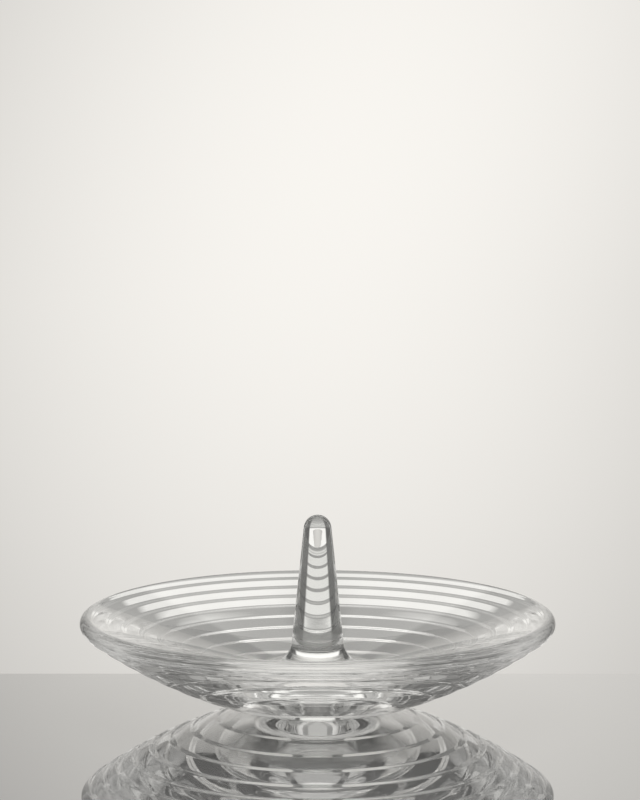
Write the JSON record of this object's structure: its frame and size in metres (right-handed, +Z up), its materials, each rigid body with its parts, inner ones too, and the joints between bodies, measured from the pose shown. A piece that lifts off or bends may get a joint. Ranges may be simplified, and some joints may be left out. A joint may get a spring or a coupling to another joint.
{
  "type": "ring dish",
  "caption": "Shallow round dish of clear pressed glass with a tapered upright spike in the middle that holds finger rings.",
  "frame": {"origin": "middle of the flat foot, on the surface that the dish stands on", "axes": "+Z up along the spike; the dish is the same all the way round, so +X and +Y are any two level directions at right angles"},
  "size_m": [0.12, 0.12, 0.0494],
  "materials": {
    "dish_glass": "clear colourless pressed glass, fire polished, with eight soft concentric steps on the underside",
    "spike_glass": "clear colourless glass, smooth and fire polished"
  },
  "bodies": {
    "root": {"dish": "dish_glass", "spike": "spike_glass"}
  },
  "joints": []
}
